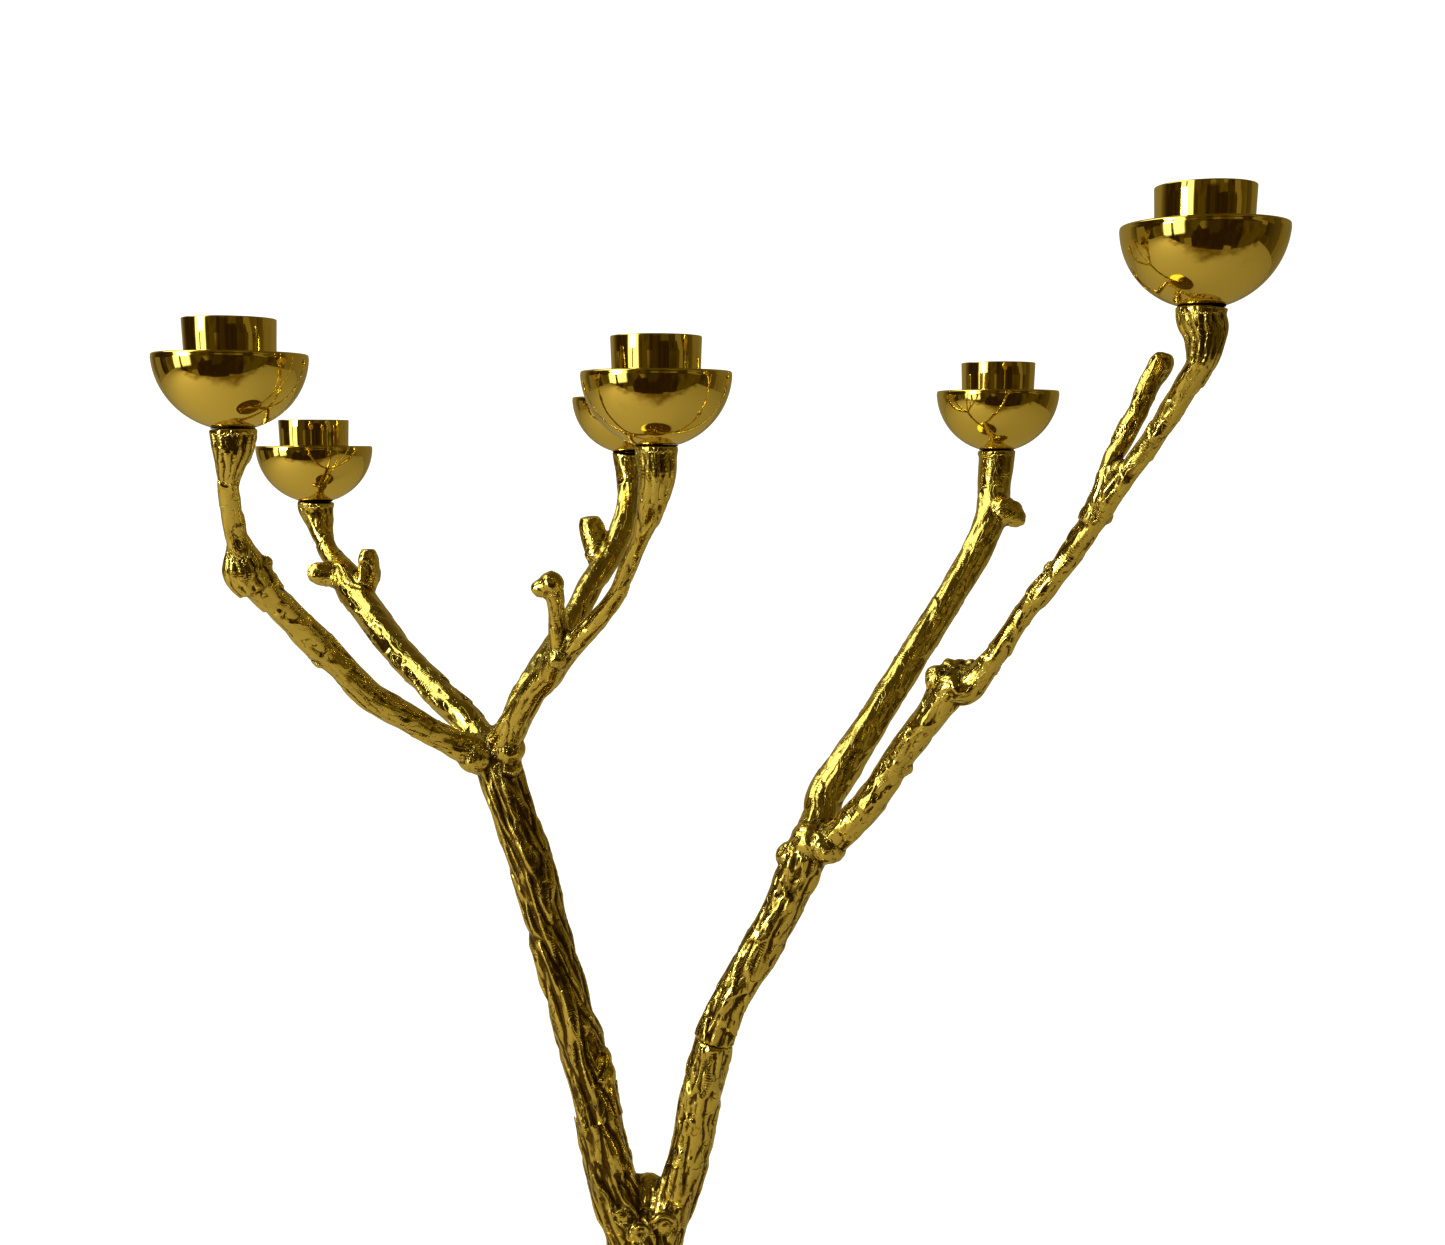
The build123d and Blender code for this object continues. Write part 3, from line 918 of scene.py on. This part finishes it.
def patina_group():
    """Brown tarnish that gathers where a value says, broken up by noise."""
    tree, given, out = shader_group(
        "patina",
        [("Recess", "Float", 0.0), ("Metal", "Color", (0.8, 0.6, 0.2, 1)),
         ("Tarnish", "Color", (0.1, 0.06, 0.01, 1)), ("Amount", "Float", 1.0),
         ("Grain", "Float", 300.0), ("Shine", "Float", 0.15), ("Dullness", "Float", 0.5)],
        [("Color", "Color"), ("Roughness", "Float"), ("Mask", "Float")])
    place = object_place(tree)
    patch = noise(tree, place, given["Grain"], 4.0, 0.6)
    broad = noise(tree, place, 45.0, 2.0)
    reach = plus(tree, given["Recess"], times(tree, minus(tree, patch, 0.5), 0.9))
    reach = plus(tree, reach, times(tree, minus(tree, broad, 0.5), 0.8))
    mask = times(tree, ramp(tree, reach, 0.25, 0.95), given["Amount"])
    spread = minus(tree, given["Dullness"], given["Shine"])
    rough = plus(tree, given["Shine"], times(tree, mask, spread))
    rough = plus(tree, rough, times(tree, minus(tree, patch, 0.5), 0.08))
    fill(tree, out, {
        "Color": mixed(tree, mask, given["Metal"], given["Tarnish"]), "Roughness": rough, "Mask": mask})
    return tree


def hairline_group():
    """Fine polishing lines round a turned or filed piece, and a few pits: a height."""
    tree, given, out = shader_group(
        "hairlines",
        [("Vector", "Vector", (0, 0, 0)), ("Density", "Float", 4000.0), ("Pits", "Float", 0.5)],
        [("Height", "Float"), ("Marks", "Float")])
    lines = noise(tree, given["Vector"], given["Density"], 2.0, 0.6)
    place = object_place(tree)
    pit = output(tree, "ShaderNodeTexVoronoi", {"Vector": place, "Scale": 420.0}, feature="F1")
    rare = ramp(tree, noise(tree, place, 160.0, 1.0), 0.58, 0.66)
    hole = times(tree, minus(tree, 1.0, ramp(tree, pit, 0.05, 0.16)), rare)
    height = minus(tree, lines, times(tree, hole, given["Pits"]))
    fill(tree, out, {"Height": height, "Marks": hole})
    return tree


def new_material(name):
    """An empty node material: its tree and its Principled shader."""
    material = bpy.data.materials.new(name)
    material.use_nodes = True
    tree = material.node_tree
    tree.nodes.clear()
    shader = tree.nodes.new("ShaderNodeBsdfPrincipled")
    tree.links.new(shader.outputs[0], tree.nodes.new("ShaderNodeOutputMaterial").inputs[0])
    return material, tree, shader


def placed(tree, group, inputs):
    """A shader group placed in a material with its own values."""
    return node(tree, "ShaderNodeGroup", inputs, node_tree=group)


def metallic(tree, shader, skin):
    """Gives a shader the colour and roughness of a patina, as bare metal."""
    colour, roughness = skin.outputs["Color"], skin.outputs["Roughness"]
    fill(tree, shader, {"Base Color": colour, "Roughness": roughness, "Metallic": 1.0})


def bumped(tree, shader, height, strength, distance, under=None):
    """A bump from a height into the shader's normal, over another bump if there is one."""
    inputs = {"Height": height, "Strength": strength, "Distance": distance}
    if under is not None:
        inputs["Normal"] = under
    made = node(tree, "ShaderNodeBump", inputs)
    tree.links.new(made.outputs[0], shader.inputs["Normal"])
    return made.outputs[0]


def cast_brass(patina, hairlines):
    """Sand-cast brass, filed and polished on the high spots, brown in the hollows, and darker all over where its
    bark plates are deeper.
    """
    material, tree, shader = new_material("cast_brass")
    recess, along, bark = [
        node(tree, "ShaderNodeAttribute", attribute_name=name).outputs["Fac"]
        for name in ("recess", "along", "bark")]
    grain = node(tree, "ShaderNodeAttribute", attribute_name="grain").outputs["Vector"]
    drawn = output(tree, "ShaderNodeMapping", {"Vector": grain, "Scale": (1, 1, 0.42)})
    wrinkle = sums(tree, "ABSOLUTE", minus(tree, noise(tree, drawn, 330.0, 2.0, 0.55, 0.6), 0.5))
    crack = minus(tree, 1.0, ramp(tree, wrinkle, 0.006, 0.034))
    dent = noise(tree, drawn, 520.0, 1.5, 0.5)
    # Tarnish share: brown in hollows and cracks, plus a darkening of whole castings that grows with the depth of
    # their bark plates
    patina_and_bark_darkening = plus(tree, recess, times(tree, bark, 1.15))
    patina_and_bark_darkening = plus(tree, patina_and_bark_darkening, times(tree, crack, 0.55))
    skin = placed(tree, patina, {
        "Recess": patina_and_bark_darkening, "Metal": (0.76, 0.60, 0.17, 1), "Tarnish": (0.085, 0.038, 0.003, 1), "Amount": 0.92,
        "Grain": 300.0, "Shine": 0.12, "Dullness": 0.34})
    place = object_place(tree)
    fine = placed(tree, hairlines, {"Vector": place, "Density": 1100.0, "Pits": 1.2})
    chatter = sums(tree, "SINE", times(tree, along, math.tau / (0.9 * MM)))
    chatter = times(tree, chatter, ramp(tree, noise(tree, place, 110.0, 1.0), 0.5, 0.62))
    metallic(tree, shader, skin)
    under = bumped(tree, shader, fine.outputs["Height"], 0.20, 0.10 * MM)
    under = bumped(tree, shader, dent, 0.55, 0.34 * MM, under)
    under = bumped(tree, shader, minus(tree, 1.0, crack), 0.45, 0.12 * MM, under)
    bumped(tree, shader, chatter, 0.30, 0.03 * MM, under)
    return material


def polished_brass(patina, hairlines):
    """Turned brass buffed to a mirror, with faint hairlines, handling haze and a few pits."""
    material, tree, shader = new_material("polished_brass")
    place = object_place(tree)
    haze = ramp(tree, noise(tree, place, 60.0, 3.0, 0.6), 0.45, 0.75)
    skin = placed(tree, patina, {
        "Recess": times(tree, haze, 0.35), "Metal": (0.80, 0.62, 0.17, 1), "Tarnish": (0.36, 0.22, 0.03, 1),
        "Amount": 0.35, "Grain": 500.0, "Shine": 0.055, "Dullness": 0.22})
    ringed = output(tree, "ShaderNodeMapping", {"Vector": place, "Scale": (1, 1, 14)})
    fine = placed(tree, hairlines, {"Vector": ringed, "Density": 260.0, "Pits": 0.8})
    metallic(tree, shader, skin)
    bumped(tree, shader, fine.outputs["Height"], 0.05, 0.05 * MM)
    return material


def plain_steel(patina, hairlines):
    """Zinc-plated steel of the studs, pegs and bolt."""
    material, tree, shader = new_material("plated_steel")
    place = object_place(tree)
    skin = placed(tree, patina, {
        "Recess": 0.2, "Metal": (0.52, 0.51, 0.48, 1), "Tarnish": (0.2, 0.18, 0.15, 1), "Amount": 0.5,
        "Grain": 900.0, "Shine": 0.28, "Dullness": 0.5})
    fine = placed(tree, hairlines, {"Vector": place, "Density": 3000.0, "Pits": 0.4})
    metallic(tree, shader, skin)
    bumped(tree, shader, fine.outputs["Height"], 0.2, 0.05 * MM)
    return material


def fibrous(name, grain, dark, pale, roughness, looks, bump):
    """A matt material of fine fibres, its colour and roughness following their noise."""
    material, tree, shader = new_material(name)
    fibres = noise(tree, object_place(tree), *grain)
    rough = ramp(tree, fibres, 0.2, 0.8, *roughness)
    fill(tree, shader, {"Base Color": mixed(tree, fibres, dark, pale), "Roughness": rough, **looks})
    bumped(tree, shader, fibres, *bump)
    return material


# ---- studio

def room():
    """A white background, and a dim room with one barred window that the brass can mirror."""
    world = bpy.data.worlds.new("studio")
    bpy.context.scene.world = world
    world.use_nodes = True
    tree = world.node_tree
    tree.nodes.clear()
    way = tree.nodes.new("ShaderNodeTexCoord").outputs["Generated"]
    x, y, z = parts_of(tree, way)
    bearing = sums(tree, "ARCTAN2", x, times(tree, y, -1.0))
    aside = sums(tree, "ABSOLUTE", bearing)
    flat = output(tree, "ShaderNodeCombineXYZ", {0: times(tree, bearing, 2.6), 1: times(tree, z, 1.5)})
    block = node(
        tree, "ShaderNodeTexVoronoi", {"Vector": flat, "Scale": 1.0, "Randomness": 0.8}, feature="F1",
        distance="CHEBYCHEV").outputs["Color"]
    block = output(tree, "ShaderNodeSeparateColor", {0: block})
    clutter = plus(tree, times(tree, block, 0.75), times(tree, noise(tree, flat, 2.2, 3.0, 0.6), 0.5))
    clutter = ramp(tree, clutter, 0.15, 1.0)
    figure = times(tree, ramp(tree, aside, 0.30, 0.20), ramp(tree, z, 0.34, 0.26))
    clutter = times(tree, clutter, minus(tree, 1.0, times(tree, figure, 0.8)))
    walls = mixed(tree, ramp(tree, clutter, 0.0, 0.45), DIM_ROOM, MID_ROOM)
    walls = mixed(tree, ramp(tree, clutter, 0.45, 0.95), walls, WARM_ROOM)
    walls = mixed(tree, ramp(tree, aside, 1.9, 2.6), walls, PALE_WALL)
    walls = mixed(tree, ramp(tree, bearing, 1.1, 1.8, 0.0, 0.5), walls, TAN_WALL)
    walls = mixed(tree, ramp(tree, z, 0.45, 0.95, 0.0, 0.85), walls, CEILING)
    sky = opening(tree, bearing, z, (-2.35, -2.15, -1.05, -0.85), (0.50, 0.56, 0.86, 0.92))
    side = opening(tree, bearing, z, (-1.30, -1.24, -0.80, -0.72), (-0.30, -0.24, 0.60, 0.66))
    bars = ramp(tree, sums(tree, "ABSOLUTE", sums(tree, "SINE", times(tree, bearing, 9.0))), 0.22, 0.36)
    window = sums(tree, "MAXIMUM", times(tree, side, bars), sky)
    lit = mixed(tree, window, walls, DAYLIGHT)
    seen = mixed(tree, tree.nodes.new("ShaderNodeLightPath").outputs["Is Camera Ray"], lit, (1, 1, 1, 1))
    glow = node(tree, "ShaderNodeBackground", {"Color": seen, "Strength": 1.0})
    tree.links.new(glow.outputs[0], tree.nodes.new("ShaderNodeOutputWorld").inputs[0])


def opening(tree, bearing, height, across, up):
    """1 inside an opening of the room, whose soft edges start and end at these bearings and heights."""
    left, left_in, right_in, right = across
    foot, foot_in, top_in, top = up
    wide = times(tree, ramp(tree, bearing, left, left_in), ramp(tree, bearing, right, right_in))
    tall = times(tree, ramp(tree, height, foot, foot_in), ramp(tree, height, top, top_in))
    return times(tree, wide, tall)


def table_top():
    """A pale table under the base, which the brass sees lit near the window and in painted shade towards the eye,
    deepest in the middle.
    """
    made = bmesh.new()
    corners = [(-1.5, -0.62), (1.3, -0.62), (1.3, 1.1), (-1.5, 1.1)]
    made.faces.new([made.verts.new((along, back, 0)) for along, back in corners])
    table = shown("table_top", mesh_of(made, "table_top"))
    material, tree, shader = new_material("pale_table")
    place = object_place(tree)
    away = node(tree, "ShaderNodeVectorMath", {0: place}, operation="LENGTH").outputs[1]
    eye = tree.nodes.new("ShaderNodeLightPath").outputs["Is Camera Ray"]
    open_table = times(tree, ramp(tree, away, 0.12, 0.19), eye)
    x, y, z = parts_of(tree, place)
    # Painted shade for the brass to mirror: the table darkens towards the eye and in the middle in front, and
    # stays lit towards the window
    wander = times(tree, minus(tree, noise(tree, place, 5.0, 2.0), 0.5), 0.5)
    toward = plus(tree, times(tree, y, -1.0), wander)
    middle_shade = times(tree, ramp(tree, sums(tree, "ABSOLUTE", x), 0.30, 0.08), 0.16)
    dim = ramp(tree, plus(tree, toward, middle_shade), 0.42, 0.72)
    lit_and_shaded_top = mixed(tree, dim, LIT_TABLE, SHADED_TABLE)
    top = mixed(tree, eye, lit_and_shaded_top, (0.86, 0.84, 0.80, 1))
    fill(tree, shader, {
        "Base Color": mixed(tree, open_table, top, (0, 0, 0, 1)), "Emission Strength": 1.0,
        "Emission Color": mixed(tree, open_table, (0, 0, 0, 1), (1, 1, 1, 1)), "Roughness": 0.9,
        "Specular IOR Level": 0.0})
    table.data.materials.append(material)


def soft_light(name, place, target, size, power, mirrored):
    """A square softbox aimed at a point, seen or not in the brass."""
    light = bpy.data.lights.new(name, "AREA")
    light.size = size
    light.energy = power
    lamp = shown(name, light)
    lamp.location = place
    lamp.rotation_euler = (Vector(target) - Vector(place)).to_track_quat("-Z", "Y").to_euler()
    lamp.visible_glossy = mirrored


def camera():
    """Eye a little above the middle lights, half a metre in front, tipped down slightly."""
    view = bpy.data.cameras.new("camera")
    view.lens = LENS
    view.sensor_width = 36.0
    view.clip_start = 0.01
    eye = shown("camera", view)
    eye.location = [value * MM for value in EYE]
    eye.rotation_euler = (math.radians(90 - EYE_TIP), 0, 0)
    bpy.context.scene.camera = eye


GUIDE = guide_tree()
FILLET = fillet_tree()
RELIEF = relief_tree()

patina = patina_group()
hairlines = hairline_group()
cast = cast_brass(patina, hairlines)
polished = polished_brass(patina, hairlines)
steel = plain_steel(patina, hairlines)

black_fibre = fibrous(
    "black_fibre", (1800, 3, 0.6), (0.002, 0.002, 0.002, 1), (0.010, 0.009, 0.008, 1), (0.55, 0.8),
    {"Specular IOR Level": 0.15}, (0.3, 0.05 * MM))
green_felt = fibrous(
    "green_felt", (1400, 5, 0.7, 1.5), (0.008, 0.02, 0.01, 1), (0.04, 0.075, 0.04, 1), (0.95, 0.95),
    {"Sheen Weight": 0.4}, (0.6, 0.3 * MM))

make_castings(cast)
make_cups(polished, black_fibre)
make_base(polished, green_felt)
for name, part in frame["nodes"].items():
    if "stud" in name or "peg" in name or name in ("base_bolt", "base_washer"):
        part.data.materials.clear()
        part.data.materials.append(steel)
room()
table_top()
soft_light("overhead", (-0.5, -0.1, 1.9), (0, 0, 0), 1.2, 11, False)
soft_light("window", (-0.95, -0.62, 0.62), (0, 0, 0.3), 0.30, 5, True)
camera()
bpy.context.scene.view_settings.view_transform = "Standard"
bpy.context.scene.view_settings.look = "Medium High Contrast"
